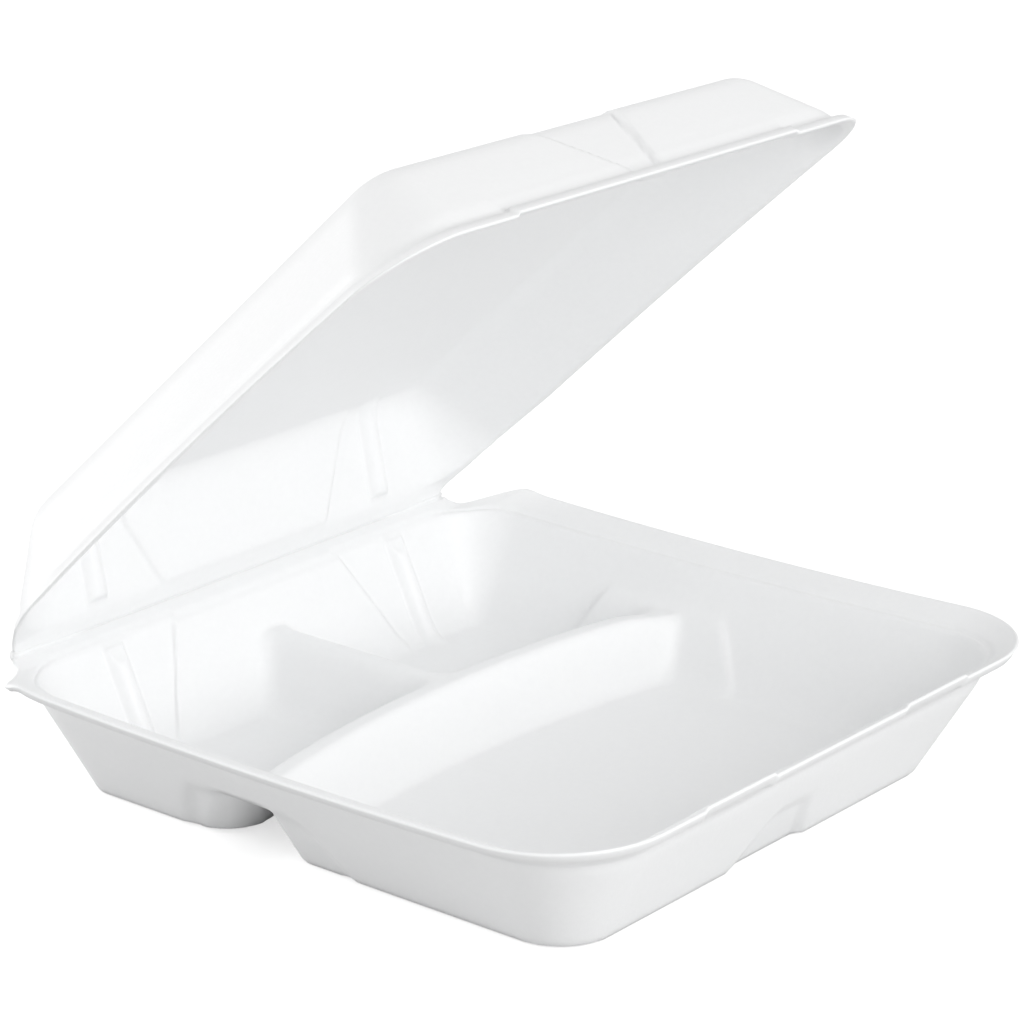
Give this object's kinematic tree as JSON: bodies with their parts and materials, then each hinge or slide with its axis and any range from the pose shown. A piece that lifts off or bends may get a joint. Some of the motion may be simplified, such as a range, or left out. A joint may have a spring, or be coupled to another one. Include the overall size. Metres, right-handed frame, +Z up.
{
  "type": "foam clamshell food container",
  "caption": "White foam takeaway container with a divided tray and a hinged lid standing half open.",
  "frame": {"origin": "on the underside of the front compartment, where the container stands, on its middle line", "axes": "+X along the hinge, +Y from the front rim to the hinge, +Z up"},
  "size_m": [0.241, 0.2415, 0.2069],
  "materials": {
    "foam": "matte white closed-cell foam sheet with a faint skin sheen"
  },
  "bodies": {
    "base": {"base_tray": "foam"},
    "lid": {"lid": "foam"}
  },
  "joints": [
    {"name": "lid_hinge", "type": "hinge", "parent": "base", "child": "lid", "pos_m": [0, 0.1143, 0.03965], "axis": [-1, 0, 0], "range_deg": [-42.8, 137.2]}
  ]
}
